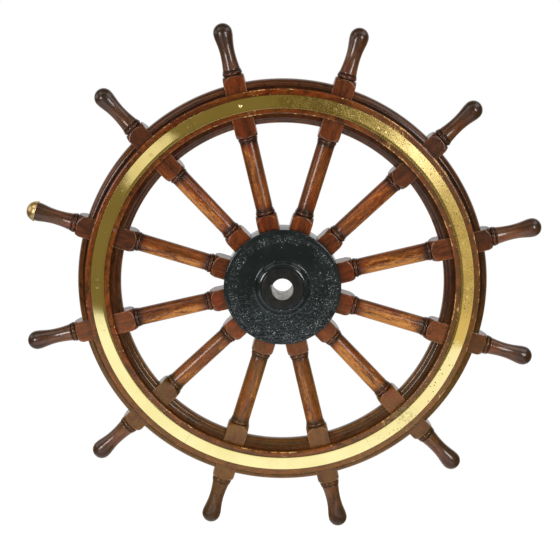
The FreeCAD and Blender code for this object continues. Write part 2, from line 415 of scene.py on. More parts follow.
def rim_wood(name, base, lift, pale_marks, aged, wear_amount, coat):
    """Wood of the felloes and facings: grain along the chord of each piece, wear on the arrises.
    The right of the rim is more worn and aged."""
    n = Nodes(name)
    moved, streaks, mottle, figure, pores = grain(n, "Z")
    colour = n.mix(n.band(mottle, 0.32, 0.68), base, lift)
    tone = n.band(figure, 0.3, 0.7, 0.62, 1.38)
    colour = n.mix(1.0, colour, n.join(tone, tone, tone), "MULTIPLY")
    colour = n.mix(n.band(streaks, 0.42, 0.72, 0.0, 0.5), colour, tuple(c * 0.35 for c in base))
    colour = n.mix(n.band(pores, 0.62, 0.75, 0.0, 0.5), colour, (0.010, 0.006, 0.004))
    redder = n.band(n.noise(moved, 15.0, 3.0, 0.6), 0.46, 0.64, 0.0, 0.7)
    colour = n.mix(redder, colour, n.mix(1.0, colour, (1.10, 0.60, 0.50), "MULTIPLY"))
    dirt = n.band(n.noise(moved, 33.0, 4.0, 0.65, 0.5), 0.50, 0.68, 0.0, 0.75)
    colour = n.mix(dirt, colour, tuple(c * 0.30 for c in base))
    edge = n.attribute("edge")
    world_x = n.split(n.coords)[0]
    right = n.band(world_x, 0.05, 0.40)
    colour = n.mix(n.band(world_x, 0.0, 0.45, 0.0, 0.35), colour, aged)
    chips = n.noise(moved, 85.0, 4.0, 0.75)
    patch = n.noise(moved, 12.0, 3.0)
    bare = n.plus(n.times(edge, 0.24), n.plus(chips, n.times(patch, 0.8)))
    more = n.plus(n.times(n.attribute("wear"), 0.05), n.times(right, 0.07))
    bare = n.plus(bare, more)
    bare = n.times(n.band(bare, 1.22, 1.32), wear_amount)
    colour = n.mix(bare, colour, pale_marks)
    blotches = n.band(n.noise(moved, 70.0, 3.0, 0.7), 0.45, 0.6, 0.0, 0.8)
    stain = n.times(n.spot(*STAIN_AT, 0.02, 0.06), blotches)
    colour = n.mix(stain, colour, (0.21, 0.15, 0.06))
    # Painted shade and dirt: darker in the grooves, creases and joints.
    colour = n.mix(n.times(n.attribute("grime_and_shade"), 0.9), colour, (0.006, 0.004, 0.003))
    rough = n.plus(n.band(mottle, 0.3, 0.7, 0.50, 0.36), n.times(bare, 0.15))
    return varnish(n, colour, moved, streaks, pores, bare, coat, rough, 0.17)


def strip_brass():
    """Polished brass. Pitting is heavy in the upper right quarter but for one cleaner patch,
    sparse at the lower right and absent at the left."""
    n = Nodes("strip_brass")
    x, _, z = n.split(n.coords)
    upper = n.times(n.band(x, -0.07, 0.05), n.band(z, -0.13, -0.03))
    right = n.band(x, 0.20, 0.38)
    pitted = n.band(n.noise(n.coords, 26.0, 3.0, 0.6), 0.34, 0.62, 0.35, 1.0)
    grit = n.plus(n.times(n.noise(n.coords, 430.0, 2.0, 0.6), 0.75), n.times(pitted, 0.22))
    pits = n.times(n.band(grit, 0.49, 0.57), upper)
    dots = n.band(n.cells(n.coords, 185.0), 0.46, 0.32)
    dots = n.times(dots, n.band(n.noise(n.coords, 45.0, 2.0), 0.40, 0.54))
    clean = n.band(n.spot(0.36, 0.34, 0.05, 0.15), 0.0, 1.0, 1.0, 0.2)
    where = n.times(upper, n.band(x, 0.10, 0.36, 0.6, 1.0))
    dots = n.times(dots, n.times(clean, where))
    spots = n.times(n.band(n.cells(n.coords, 105.0), 0.24, 0.13), right)
    spots = n.times(spots, n.band(n.noise(n.coords, 30.0, 2.0), 0.46, 0.54))
    flecks = n.band(n.cells(n.coords, 310.0), 0.30, 0.10)
    flecks = n.times(flecks, n.times(upper, n.band(z, 0.18, 0.36)))
    haze = n.noise(n.coords, 9.0, 4.0, 0.6)
    fine = n.noise(n.coords, 900.0, 2.0)
    colour = n.mix(n.band(haze, 0.35, 0.68), (0.89, 0.81, 0.41), (0.83, 0.74, 0.34))
    colour = n.mix(n.times(upper, n.band(haze, 0.3, 0.7, 0.15, 0.55)), colour, (0.74, 0.60, 0.20))
    pits = n.times(n.times(pits, clean), n.band(x, 0.10, 0.36, 0.60, 0.50))
    colour = n.mix(n.math("MAXIMUM", pits, n.times(dots, 0.85)), colour, (0.22, 0.14, 0.035))
    colour = n.mix(n.band(x, 0.20, 0.40, 0.0, 0.6), colour, (0.84, 0.70, 0.33))
    colour = n.mix(spots, colour, (0.12, 0.08, 0.03))
    colour = n.mix(n.times(n.attribute("edge"), 0.35), colour, (0.60, 0.46, 0.16))
    # Painted shade and dirt on the strip's sides down in the bed.
    colour = n.mix(n.times(n.attribute("grime_and_shade"), 0.85), colour, (0.08, 0.05, 0.02))
    blotches = n.band(n.noise(n.coords, 150.0, 3.0, 0.7), 0.48, 0.62, 0.0, 0.60)
    stain = n.times(n.spot(*STAIN_AT, 0.01, 0.045), blotches)
    colour = n.mix(stain, colour, (0.34, 0.27, 0.09))
    rough = n.plus(n.band(haze, 0.3, 0.7, 0.03, 0.06), n.times(upper, 0.08))
    rough = n.math("ADD", rough, n.times(spots, 0.3), clamp=True)
    normal = n.bump(n.noise(n.coords, 14.0, 1.0), 0.0005, 0.4)
    normal = n.bump(n.times(fine, 0.3), 0.00006, 0.4, normal)
    normal = n.bump(n.times(n.plus(pits, spots), -1.0), 0.00003, 0.8, normal)
    normal = n.bump(flecks, 0.00006, 1.0, normal)
    return n.finish(colour, rough, normal, metallic=1.0)


def cap_brass():
    n = Nodes("cap_brass")
    haze = n.noise(n.coords, 60.0, 4.0, 0.6)
    fine = n.noise(n.coords, 700.0, 2.0)
    colour = n.mix(n.band(haze, 0.35, 0.7), (0.66, 0.50, 0.25), (0.44, 0.32, 0.15))
    normal = n.bump(n.plus(n.times(fine, 0.2), haze), 0.0006, 0.5)
    return n.finish(colour, n.band(haze, 0.3, 0.7, 0.24, 0.36), normal, metallic=1.0)


def painted_iron():
    """Black paint over rough cast iron: soft ripples, small sharp raised grains, most of them low and to
    the right, and broken marks in the plate's outer band. The grains and marks are also painted pale:
    painted glints."""
    n = Nodes("painted_iron")
    x, _, z = n.split(n.coords)
    radius = n.vector_math("LENGTH", n.join(x, 0.0, z), (0, 0, 0))
    angle = n.math("ARCTAN2", z, x)
    low_right = n.band(n.minus(n.times(x, 0.45), z), -0.08, 0.11)
    outer_band = n.times(n.band(radius, 0.121, 0.125), n.band(radius, 0.145, 0.140))
    ripples = n.noise(n.coords, 95.0, 3.0, 0.55, 0.4)
    fine = n.noise(n.coords, 620.0, 3.0, 0.6)
    clumps = n.noise(n.coords, 75.0, 3.0, 0.6)
    where = n.band(n.plus(clumps, n.times(low_right, 0.17)), 0.60, 0.74)
    grains = n.times(n.band(n.noise(n.coords, 330.0, 2.0, 0.55), 0.60, 0.68), where)
    polar = n.join(n.times(angle, 0.139), n.times(radius, 0.7), 0.0)
    strokes = n.math("ABSOLUTE", n.minus(n.noise(polar, 150.0, 2.0, 0.5), 0.5))
    marks = n.math("MAXIMUM", n.band(strokes, 0.035, 0.012), n.band(n.cells(polar, 190.0), 0.34, 0.18))
    kept = n.band(n.noise(polar, 42.0, 2.0), 0.43, 0.55)
    marks = n.times(n.times(marks, kept), outer_band)
    broad = n.noise(n.coords, 16.0, 2.0)
    colour = n.mix(n.band(broad, 0.35, 0.7), (0.0060, 0.0105, 0.0130), (0.0115, 0.0180, 0.0210))
    broken = n.band(n.noise(n.coords, 330.0, 2.0, 0.6), 0.48, 0.68)
    # Painted glints: the grains and broken marks are painted pale grey.
    painted_glint = n.math("MAXIMUM", n.times(marks, broken), grains)
    colour = n.mix(painted_glint, colour, (0.33, 0.38, 0.40))
    soft = n.plus(n.times(ripples, 0.8), n.times(fine, 0.10))
    normal = n.bump(soft, 0.0005, 0.45)
    normal = n.bump(n.plus(grains, n.times(marks, 0.8)), 0.0011, 1.0, normal)
    return n.finish(colour, 0.45, normal, coat=0.9, coat_roughness=0.07,
                    Specular_IOR_Level=0.0, Coat_IOR=COAT_IOR)


def machined_face():
    """The boss's turned face, darkened by handling."""
    n = Nodes("machined_face")
    x, _, z = n.split(n.coords)
    radius = n.vector_math("LENGTH", n.join(x, 0.0, z), (0, 0, 0))
    rings = n.noise(n.join(n.times(radius, 900.0), 0.0, 0.0), 1.0, 3.0)
    stain = n.noise(n.coords, 45.0, 4.0, 0.6)
    colour = n.mix(n.band(stain, 0.35, 0.7), (0.0105, 0.0125, 0.0135), (0.021, 0.0205, 0.0200))
    normal = n.bump(n.plus(rings, n.times(stain, 0.5)), 0.0003, 0.5)
    return n.finish(colour, 0.5, normal, coat=0.35, coat_roughness=0.18, Specular_IOR_Level=0.0)


def bore_steel():
    """The bright bore, with faint tool marks round it."""
    n = Nodes("bore_steel")
    marks = n.noise(n.stretch(n.coords, (60.0, 900.0, 60.0)), 1.0, 3.0)
    stain = n.noise(n.coords, 60.0, 4.0, 0.65)
    colour = n.mix(n.band(stain, 0.35, 0.68), (0.31, 0.30, 0.28), (0.16, 0.15, 0.12))
    normal = n.bump(marks, 0.0002, 0.4)
    return n.finish(colour, n.band(stain, 0.3, 0.7, 0.30, 0.45), normal, metallic=0.85)


def screw_brass():
    n = Nodes("screw_brass")
    haze = n.noise(n.coords, 80.0, 3.0)
    colour = n.mix(n.band(haze, 0.35, 0.7), (0.88, 0.80, 0.42), (0.83, 0.74, 0.36))
    # Darker round the rim of each head: dirt and painted shade.
    colour = n.mix(n.times(n.attribute("grime_and_shade"), 0.8), colour, (0.12, 0.09, 0.04))
    normal = n.bump(n.noise(n.coords, 500.0, 2.0), 0.00005, 0.4)
    rough = n.plus(n.band(haze, 0.3, 0.7, 0.07, 0.10), n.times(n.attribute("dome"), 0.30))
    return n.finish(colour, rough, normal, metallic=1.0)


def plug_wood():
    n = Nodes("plug_wood")
    grain_end = n.noise(n.coords, 420.0, 3.0, 0.6)
    colour = n.mix(n.band(grain_end, 0.35, 0.7), (0.17, 0.062, 0.022), (0.09, 0.032, 0.012))
    # Darker round the rim of each plug: dirt and painted shade.
    colour = n.mix(n.times(n.attribute("grime_and_shade"), 0.6), colour, (0.02, 0.012, 0.008))
    return n.finish(colour, 0.4, n.bump(grain_end, 0.0003, 0.5), coat=0.5, coat_roughness=0.12)


SPOKE_WOOD = spoke_wood("spoke_wood", False)
HANDLE_WOOD = spoke_wood("handle_wood", True)
FELLOE_WOOD = rim_wood(
    "felloe_wood", base=(0.060, 0.017, 0.005), lift=(0.115, 0.034, 0.009),
    pale_marks=(0.34, 0.14, 0.04), aged=(0.024, 0.016, 0.011), wear_amount=0.5, coat=0.9)
# The flats beside the facings: the felloe wood with less gloss, made lighter, most on the right of the rim,
# as painted light in the recess the facings shade.
FELLOE_FLAT_PAINTED_LIGHT = rim_wood(
    "felloe_flat", base=(0.062, 0.019, 0.007), lift=(0.116, 0.037, 0.011),
    pale_marks=(0.34, 0.14, 0.04), aged=(0.050, 0.022, 0.008), wear_amount=0.3, coat=0.25)
FACING_WOOD = rim_wood(
    "facing_wood", base=(0.095, 0.026, 0.005), lift=(0.205, 0.056, 0.009),
    pale_marks=(0.62, 0.38, 0.15), aged=(0.15, 0.09, 0.042), wear_amount=0.95, coat=0.85)
STRIP_BRASS = strip_brass()
SCREW_BRASS = screw_brass()
CAP_BRASS = cap_brass()
PLUG_WOOD = plug_wood()
IRON = painted_iron()
FACE_IRON = machined_face()
BORE_STEEL = bore_steel()


# ------------------------------------------------------------------ spokes
SOFT = 1.3                      # rounding of the stock's long edges
UNCUT = 60                      # a turning radius that leaves the stock square
CORNER_R, NECK_R = 41.4, 28.0   # turning radii where a shoulder begins and ends
GROOVES = (                     # (radius, width) of the dirt and painted shade in each turned groove
    (196.3, 1.2), (207, 1.1), (211.4, 1.1), (394.6, 1.1), (398, 0.9),
    (407.3, 1.2), (572.6, 1.2), (584, 0.9), (587.1, 1.1),
)
SPOKE_WEAR = (0.95, 0.40, 0.05, 0.25, 0.55, 0.50, 0.62, 0.45, 0.35, 0.50, 0.90, 1.0)
# Tone of the old varnish on each spoke: hub block, shaft, rim block, outer block, handle.
TONES = (
    (0.75, 1.00, 1.15, 0.62, 1.15), (0.65, 0.95, 0.68, 0.58, 0.65), (1.00, 0.65, 1.00, 1.00, 1.00),
    (0.95, 0.78, 0.95, 1.15, 0.72), (1.08, 1.05, 1.15, 0.62, 0.80), (0.65, 0.85, 0.66, 0.72, 1.10),
    (1.10, 1.00, 1.50, 1.20, 0.95), (1.20, 0.90, 0.62, 0.85, 1.05), (0.80, 0.72, 0.85, 0.85, 0.55),
    (0.75, 0.90, 1.10, 0.60, 0.90), (1.00, 1.10, 1.15, 0.92, 1.00), (0.82, 1.10, 1.45, 0.65, 0.95),
)
TONE_ENDS = (194, 407, 494, 573)        # outer ends of the first four of those stretches
MORE_DUST_AND_LIGHT = {7: 0.06, 8: 0.16, 9: 0.05}         # extra dusty tint, partly painted light, on the lowest spokes, counted from 0


def around():
    """Angles round a spoke, closer together at the corners of the square."""
    side = [4.5 * i for i in range(10)] + [43.0, 43.9, 44.5, 45.0]
    half = side + [90 - a for a in side[-2::-1]][:-1]
    return [a + 90 * q for q in range(4) for a in half]


AROUND = around()


def square_radius(degrees):
    """Distance from the axis to the rounded-square stock."""
    a = math.radians(abs((degrees + 45) % 90 - 45))
    flat = STOCK - SOFT
    if a <= math.atan2(flat, STOCK):
        return STOCK / math.cos(a)
    c, s = math.cos(a), math.sin(a)
    return flat * (c + s) + math.sqrt(max(SOFT * SOFT - (flat * (c - s)) ** 2, 0))


SQUARE = [square_radius(a) for a in AROUND]


def softer(a, b, k=2.0):
    """The smaller of two radii, blended where they are within k of each other."""
    h = max(k - abs(a - b), 0) / k
    return min(a, b) - h * h * k / 4


def shoulder(x_end, sign):
    """Turned end of a block: rows from full square to the small end at x_end."""
    rows = []
    steps = 18
    for i in range(steps + 1):
        r = CORNER_R - (CORNER_R - NECK_R) * i / steps
        rows.append((x_end - sign * 0.0159 * (r * r - NECK_R ** 2), r))
    rows.append((x_end + sign * 0.25, 27.2))
    return rows


def bead(x, half, low, high, n=10):
    """A turned bead: its middle, half its width, and its radii at the foot and the crown."""
    return arc(x, low, -half, high - low, 0, 180, n)


def spoke_rows():
    """(distance from the bore axis, turning radius) along a spoke, from root to tip."""
    rows = [(x, UNCUT) for x in (112, 150, 178)] + shoulder(196, 1)
    rows += [(196.4, 24.2)] + bead(201.6, 4.9, 23.4, 26.2) + [(206.9, 22.7)]
    rows += bead(209.0, 1.7, 23.0, 24.5, 6) + [(211.3, 22.5), (212.4, 22.75)]
    steps = 14
    for i in range(1, steps + 1):
        rows.append((212.4 + (394.0 - 212.4) * i / steps, 22.9 + 0.9 * (i / steps) ** 0.8))
    rows += [(394.6, 23.2)] + bead(396.3, 1.5, 23.3, 24.9, 6) + [(398.0, 22.9)]
    rows += bead(402.7, 4.5, 23.4, 26.2) + [(407.2, 24.2)]
    rows += shoulder(407.5, -1)[::-1] + [(x, UNCUT) for x in (430, 470, 520, 550)] + shoulder(572, 1)
    rows += [(572.4, 23.8), (573.0, 23.0)] + bead(578.6, 5.2, 23.4, 26.2) + [(584.0, 22.9)]
    rows += bead(585.5, 1.3, 23.4, 25.1, 6) + [(587.0, 22.7)]
    grip = [(588, 23.1), (599, 21.7), (613, 20.3), (632, 19.7), (649, 20.7), (664, 22.9), (675, 24.7)]
    rows += flow(grip + [(BULB_R, 25.25)], 5)
    for degrees in range(6, 90, 6):
        t = math.radians(degrees)
        rows.append((BULB_R + BULB_HALF * math.sin(t), BULB_HALF * math.cos(t)))
    return rows


def grime_and_shade_at(x):
    """Dirt and painted shade in the turned grooves."""
    return max(near(x, groove, width) for groove, width in GROOVES)


def dust_and_light_at(x):
    """How much of the dusty tint, partly painted light from below, each part takes: most on the blocks,
    less on the shaft, none on the outer part of the handle.
    """
    if x < 194:
        return 0.24
    if 410 < x < 573:
        return 0.32
    return 0.12 if x < 620 else 0.0


def tone_at(x, tones):
    for end, tone in zip(TONE_ENDS, tones):
        if x < end:
            return tone
    return tones[-1]


def spoke_mesh(name, degrees, wear, seed, tones, more_dust_and_light):
    rings, edges = [], []
    for x, r in spoke_rows():
        ring = []
        for a, square in zip(AROUND, SQUARE):
            radius = softer(square, r)
            t = math.radians(a)
            ring.append((x, radius * math.cos(t), radius * math.sin(t)))
            # Where the pale lines go: the arched ends where the square meets a shoulder, and the long
            # arrises.
            arch = near(square, r, 0.9) if r > 27.5 else 0.0
            corner = near(a % 90, 45.0, 1.6) if r > square else 0.0
            edges.append(max(arch, corner))
        rings.append(ring)
    verts, faces = tube(rings)
    n = len(AROUND)
    verts.append((BULB_R + BULB_HALF, 0.0, 0.0))
    tip = len(verts) - 1
    last = (len(rings) - 1) * n
    faces += [(last + j, last + (j + 1) % n, tip) for j in range(n)]
    faces.append(tuple(range(n - 1, -1, -1)))
    mesh = make_mesh(name, verts, faces)
    stamp(mesh, wear=wear, seed=seed)
    along = [v.co.x / MM for v in mesh.vertices]
    off_axis = [max(math.hypot(v.co.y, v.co.z), MM) for v in mesh.vertices]
    # For the painted light from below: positive on the side of a spoke that faces down, nothing on an
    # upright spoke.
    down = -math.cos(math.radians(degrees))
    stamp_each(mesh, "edge", edges + [0.0])
    stamp_each(mesh, "grime_and_shade", [grime_and_shade_at(x) for x in along])
    stamp_each(mesh, "tone", [tone_at(x, tones) for x in along])
    stamp_each(mesh, "low", [down * v.co.z / away for v, away in zip(mesh.vertices, off_axis)])
    # The dusty tint here is partly dust, partly painted light from below.
    stamp_each(mesh, "dust_and_painted_light", [dust_and_light_at(x) + more_dust_and_light for x in along])
    mesh.materials.append(SPOKE_WOOD)
    mesh.materials.append(HANDLE_WOOD)
    is_handle = [int(p.center.x > 587.5 * MM) for p in mesh.polygons]
    mesh.polygons.foreach_set("material_index", is_handle)
    return mesh


def build_spokes():
    for i in range(SPOKES):
        node = "king_spoke" if i + 1 == KING else "spoke_%02d" % (i + 1)
        degrees = FIRST_DEG + i * PITCH_DEG
        more_dust_and_light = MORE_DUST_AND_LIGHT.get(i, 0.0)
        mesh = spoke_mesh(node, degrees, SPOKE_WEAR[i], 0.37 * i + 0.11, TONES[i], more_dust_and_light)
        place("turned_" + node, mesh, degrees, "spoke_wood", node)


def build_cap():
    """A thin brass shell over the round end of the king spoke, with a rolled edge."""
    out, inner, n = 27.15, 25.35, 72
    profile = [(BULB_R + 0.1, inner), (BULB_R + 0.1, out - 0.3)]
    profile += arc(BULB_R + 1.9, out - 0.1, -1.8, 1.1, 0, 180, 8)
    turns = [math.radians(a) for a in range(8, 90, 4)]
    profile += [(BULB_R + out * math.sin(t), out * math.cos(t)) for t in turns]
    turns = [math.radians(a) for a in range(86, 2, -6)]
    inside = [(BULB_R + inner * math.sin(t), inner * math.cos(t)) for t in turns]

    def ring(x, r):
        return [(x, r * math.cos(t), r * math.sin(t)) for t in circle(n)]

    verts, faces = tube([ring(x, r) for x, r in profile])
    verts.append((BULB_R + out, 0, 0))
    last = (len(profile) - 1) * n
    faces += [(last + j, last + (j + 1) % n, len(verts) - 1) for j in range(n)]
    base = len(verts)
    for x, r in inside:
        verts += ring(x, r)
    for i in range(len(inside) - 1):
        a, b = base + i * n, base + (i + 1) * n
        faces += [(a + j, b + j, b + (j + 1) % n, a + (j + 1) % n) for j in range(n)]
    verts.append((BULB_R + inner, 0, 0))
    faces += [(base + (j + 1) % n, base + j, len(verts) - 1) for j in range(n)]
    a = base + (len(inside) - 1) * n
    faces += [(a + j, j, (j + 1) % n, a + (j + 1) % n) for j in range(n)]
    mesh = make_mesh("king_cap", verts, faces, 50)
    mesh.materials.append(CAP_BRASS)
    place("king_cap", mesh, FIRST_DEG + (KING - 1) * PITCH_DEG, "cap_brass", "king_spoke_cap")


# ------------------------------------------------------------------ ring pieces
def ring_piece(name, profile, span_deg, inset, steps, marks):
    """One piece of the rim. Its own +X is its middle direction. marks holds a rule of
    (radius, depth) for the numbers that its material reads."""
    mesh = make_mesh(name, *swept(profile, 0, span_deg, inset, steps))
    count = len(mesh.vertices)
    for key in ("edge", "grime_and_shade", "dust_and_painted_light"):
        rule = marks.get(key)
        values = [rule(*profile[k % len(profile)]) if rule else 0.0 for k in range(count)]
        stamp_each(mesh, key, values)
    return mesh


def felloe_profile():
    """Core of the rim: a round nose outside, a smaller one with coves inside."""
    top = arc(534.6, 0, 16.0, 25.6, 88, -88, 26)
    profile = [(534.0, 28.2), (533.9, 26.6)] + top + [(533.9, -26.6), (534.0, -28.2), (533.7, -28.5)]
    profile += [(520, -28.5), (470, -28.5), (453.4, -28.5)]
    profile += arc(453.0, -18.9, 9.0, 9.6, 270, 182, 8)
    profile += [(443.6, -18.3), (443.9, -17.4)]
    nose = arc(443.2, 0, -8.3, 17.0, -85, 85, 18)
    profile += nose + [(443.9, 17.4), (443.6, 18.3)]
    profile += arc(453.0, 18.9, 9.0, 9.6, 178, 90, 8)
    profile += [(470, 28.5), (520, 28.5), (533.7, 28.5)]
    return profile


def build_felloes():
    profile = felloe_profile()

    def grime_and_shade(r, y):
        # Painted shade and dirt in the quirks beside both noses.
        grooves = max(near(r, 533.9, 0.7) * (abs(y) > 24), near(r, 443.7, 0.7) * (abs(y) > 16))
        # The cove and flat just inside the facing's edge take a strong painted shadow from the facing.
        return max(grooves, 0.42 if 444 < r < 461 else 0.0)

    marks = {
        "edge": lambda r, y: max(0.6 * near(r, 550, 4), near(r, 435, 3)),
        "grime_and_shade": grime_and_shade,
        # Dust and painted light: the lighter dusty tint, most on the outer nose and flats, some on the
        # inner nose.
        "dust_and_painted_light": lambda r, y: 0.40 if r > 500 else 0.28 if r < 446 else 0.10,
    }
    for i in range(SPOKES):
        node = "felloe_%02d" % (i + 1)
        mesh = ring_piece(node, profile, PITCH_DEG, STOCK + 0.15, 20, marks)
        stamp(mesh, wear=0.5 + 0.5 * math.sin(i * 2.3), seed=0.53 * i + 3.1)
        mesh.materials.append(FELLOE_WOOD)
        mesh.materials.append(FELLOE_FLAT_PAINTED_LIGHT)
        # The flats take the lighter copy: painted light in their recess.
        is_flat = [int(abs(p.center.y) > 28.4 * MM) for p in mesh.polygons]
        mesh.polygons.foreach_set("material_index", is_flat)
        middle = FIRST_DEG + i * PITCH_DEG + PITCH_DEG / 2
        place("moulded_" + node, mesh, middle, "rim_wood", node)


def facing_profile(side):
    """Section of a facing with rounded arrises. The front one has a bed for the brass."""
    face, soft = 44.1, 4.5
    profile = [(462.0, side * 28.5)]
    profile += [(r, side * y) for r, y in arc(466.5, face - soft, soft, soft, 180, 90, 7)]
    if side < 0:
        profile += [(475.9, side * face), (476.2, side * (face - 0.4)), (476.2, side * 41.0)]
        profile += [(510.9, side * 41.0), (510.9, side * (face - 0.4)), (511.2, side * face)]
    else:
        profile += [(494, side * face)]
    profile += [(r, side * y) for r, y in arc(522.5, face - soft, soft, soft, 90, 0, 7)]
    profile += [(527.0, side * 28.5)]
    return profile


def build_facings():
    def edge(r, y):
        arrises = max(near(r, 463.4, 2.2), near(r, 525.6, 2.2)) * near(abs(y), 43.0, 3.0)
        return arrises + 0.5 * max(near(r, 475.8, 1.5), near(r, 511.3, 1.5))

    marks = {
        "edge": edge,
        # Painted shade and dirt where the facing lies on the felloe and in the corners of the brass bed.
        "grime_and_shade": lambda r, y: max(near(abs(y), 28.5, 1.0), near(r, 476.2, 0.3), near(r, 510.9, 0.3)),
        # Dust and painted light: the lighter dusty tint, strongest on the outer border.
        "dust_and_painted_light": lambda r, y: 0.34 if r > 500 else 0.16,
    }
    for i in range(SEGMENTS):
        middle = FIRST_DEG + SEGMENT_DEG * i + SEGMENT_DEG / 2
        for side, kind in ((-1, "front"), (1, "rear")):
            node = "%s_facing_%d" % (kind, i + 1)
            mesh = ring_piece(node, facing_profile(side), SEGMENT_DEG, 0.4, 60, marks)
            stamp(mesh, wear=0.5 + 0.5 * math.sin(i * 1.9 + 1), seed=0.71 * i + 7.7 + side)
            mesh.materials.append(FACING_WOOD)
            place("wood_" + node, mesh, middle, "facing_wood", node)


def build_strips():
    profile = [(476.4, -41.2), (476.4, -44.3), (476.6, -44.75), (477.1, -44.9)]
    profile += [(484, -44.9), (493.5, -44.9), (503, -44.9)]
    profile += [(510.55, -44.9), (510.7, -44.75), (510.7, -41.2)]
    marks = {
        "edge": lambda r, y: near(r, 476.8, 0.8),
        # The strip's sides, down in the bed, take painted shade and dirt.
        "grime_and_shade": lambda r, y: 1.0 if y > -43 else 0.0,
    }
    for i in range(SEGMENTS):
        node = "brass_strip_%d" % (i + 1)
        middle = BRASS_DEG + SEGMENT_DEG * i + SEGMENT_DEG / 2
        mesh = ring_piece(node, profile, SEGMENT_DEG, 0.18, 60, marks)
        mesh.materials.append(STRIP_BRASS)
        place("polished_" + node, mesh, middle, "strip_brass", node)


def discs(name, radius, back, face, pitch_r, angles, domed=None):
    """Small flush discs round the ring, each a closed short cylinder with a fine edge. The one
    at the angle domed stands a little proud."""
    sides = 24
    # Dirt and painted shade in the gap round each disc's rim, fading onto its face.
    row_dirt_and_shade = (1.0, 0.5, 0.2, 0.0, 0.0, 0.0)
    parts, dirt, dome = [], [], []
    for degrees in angles:
        rise = 0.8 if domed and abs(degrees - domed) < 1 else 0.0
        profile = [(radius, back), (radius, face + 0.3), (radius - 0.2, face + 0.02), (radius - 0.5, face)]
        profile += [(radius * 0.7, face - rise * 0.6), (radius * 0.4, face - rise)]
        turn = Matrix.Rotation(-math.radians(degrees), 4, "Y")
        rings = []
        for r, y in profile:
            ring = [Vector((pitch_r + r * math.cos(t), y, r * math.sin(t))) for t in circle(sides)]
            rings.append([tuple(turn @ p) for p in ring])
        verts, faces = tube(rings)
        faces.append(tuple(range(sides - 1, -1, -1)))
        last = (len(rings) - 1) * sides
        faces.append(tuple(last + k for k in range(sides)))
        parts.append((verts, faces))
        for amount in row_dirt_and_shade:
            dirt += [amount] * sides
        dome += [1.0 if rise else 0.0] * len(verts)
    mesh = make_mesh(name, *joined(parts))
    stamp_each(mesh, "grime_and_shade", dirt)
    if domed:
        stamp_each(mesh, "dome", dome)
    return mesh


def build_discs():
    offsets = (1.3, 15.65, 30.0, 44.35, 58.7)
    screws = [BRASS_DEG + SEGMENT_DEG * i + offset for i in range(SEGMENTS) for offset in offsets]
    mesh = discs("strip_screws", 4.35, -41.2, -44.95, 493.5, screws, 102.75)
    mesh.materials.append(SCREW_BRASS)
    place("strip_screws", mesh, 0, "screw_brass", "brass_strip_screws")
    plugs = (40.7, 100.7, 160.7, 220.7, 287.3, 340.7)
    mesh = discs("facing_plugs", 4.3, -33.0, -44.15, 470.9, plugs)
    mesh.materials.append(PLUG_WOOD)
    place("wood_plugs", mesh, 0, "plug_wood", "facing_plugs")


# ------------------------------------------------------------------ hub
KEY_DEG, KEY_R, KEY_HALF = 168.0, 33.0, 5.5     # the keyway: where, how deep, half its width
BORE_R = 28.6
PAINT, FACE, BORE = 0, 1, 2     # material slots of the casting


def hub_angles():
    """Angles round the hub, with extra ones at the keyway's edges."""
    angles = {float(a) for a in range(0, 360, 2)}
    for offset in (9.46, 11.09, 4.5):
        angles |= {KEY_DEG - offset, KEY_DEG + offset}
    return sorted(angles)


def bore_radius(degrees):
    """Radius of the bore's wall, with its keyway."""
    d = abs((degrees - KEY_DEG + 180) % 360 - 180)
    if d < 9.5:
        return KEY_R / math.cos(math.radians(d))
    if d < 11.1:
        return max(KEY_HALF / math.sin(math.radians(d)), BORE_R)
    return BORE_R


def hub_drum():
    """The turned casting, and the material slot of each of its faces."""
    profile = [("bore", -63.3), ("mouth", -64.0), (40, -64.0), (53.6, -64.0)]
    profile += arc(53.6, -60.6, 3.2, -3.4, 80, 0, 5)
    profile += [(57.0, -55.0), (57.0, -28.5), (112.0, -28.5), (112.0, 28.5), (156.8, 28.5)]
    profile += arc(153.8, 35.0, 3.0, 3.0, 0, 90, 6)
    profile += [(130, 38.0), (100, 38.0), (74.0, 38.0), (71.5, 38.6), (69.6, 41.3)]
    profile += [(68.6, 42.0), (45, 42.0), ("mouth", 42.0), ("bore", 41.3)]
    last = len(profile) - 1
    rings, kinds = [], []
    for row, (r, y) in enumerate(profile):
        ring = []
        for degrees in hub_angles():
            t = math.radians(degrees)
            radius = r
            if r == "bore":
                radius = bore_radius(degrees)
            elif r == "mouth":
                radius = bore_radius(degrees) + 0.8
            ring.append((radius * math.cos(t), y, radius * math.sin(t)))
        rings.append(ring)
        kind = FACE if 1 <= row <= 8 else PAINT
        if row in (0, last - 1, last):
            kind = BORE
        kinds += [kind] * len(ring)
    verts, faces = tube(rings, wrap_rows=True)
    return verts, faces, kinds


def build_hub_casting():
    """The drum, and the twelve webs of its outer wall between the spokes."""
    verts, faces, kinds = hub_drum()
    parts = [(verts, faces)]
    web = [(112.5, 28.4), (112.5, -28.4), (155.2, -28.4)]
    web += arc(155.2, -26.8, 1.6, -1.6, 90, 0, 4) + [(156.8, 0.0), (156.8, 28.4)]
    for i in range(SPOKES):
        middle = FIRST_DEG + i * PITCH_DEG + PITCH_DEG / 2
        parts.append(swept(web, middle, PITCH_DEG, STOCK + 0.3, 8))
        kinds += [PAINT] * len(parts[-1][1])
    mesh = make_mesh("hub_casting", *joined(parts))
    for material in (IRON, FACE_IRON, BORE_STEEL):
        mesh.materials.append(material)
    mesh.polygons.foreach_set("material_index", kinds)
    place("hub_drum", mesh, 0, "painted_iron", "hub_casting")


def lumps(p):
    """Unevenness of the cast skin at a point."""
    size, seed = 5.5, 3.1
    return noise.fractal(Vector(p) / size + Vector((seed, -seed, 0.5 * seed)), 0.9, 2.0, 4)


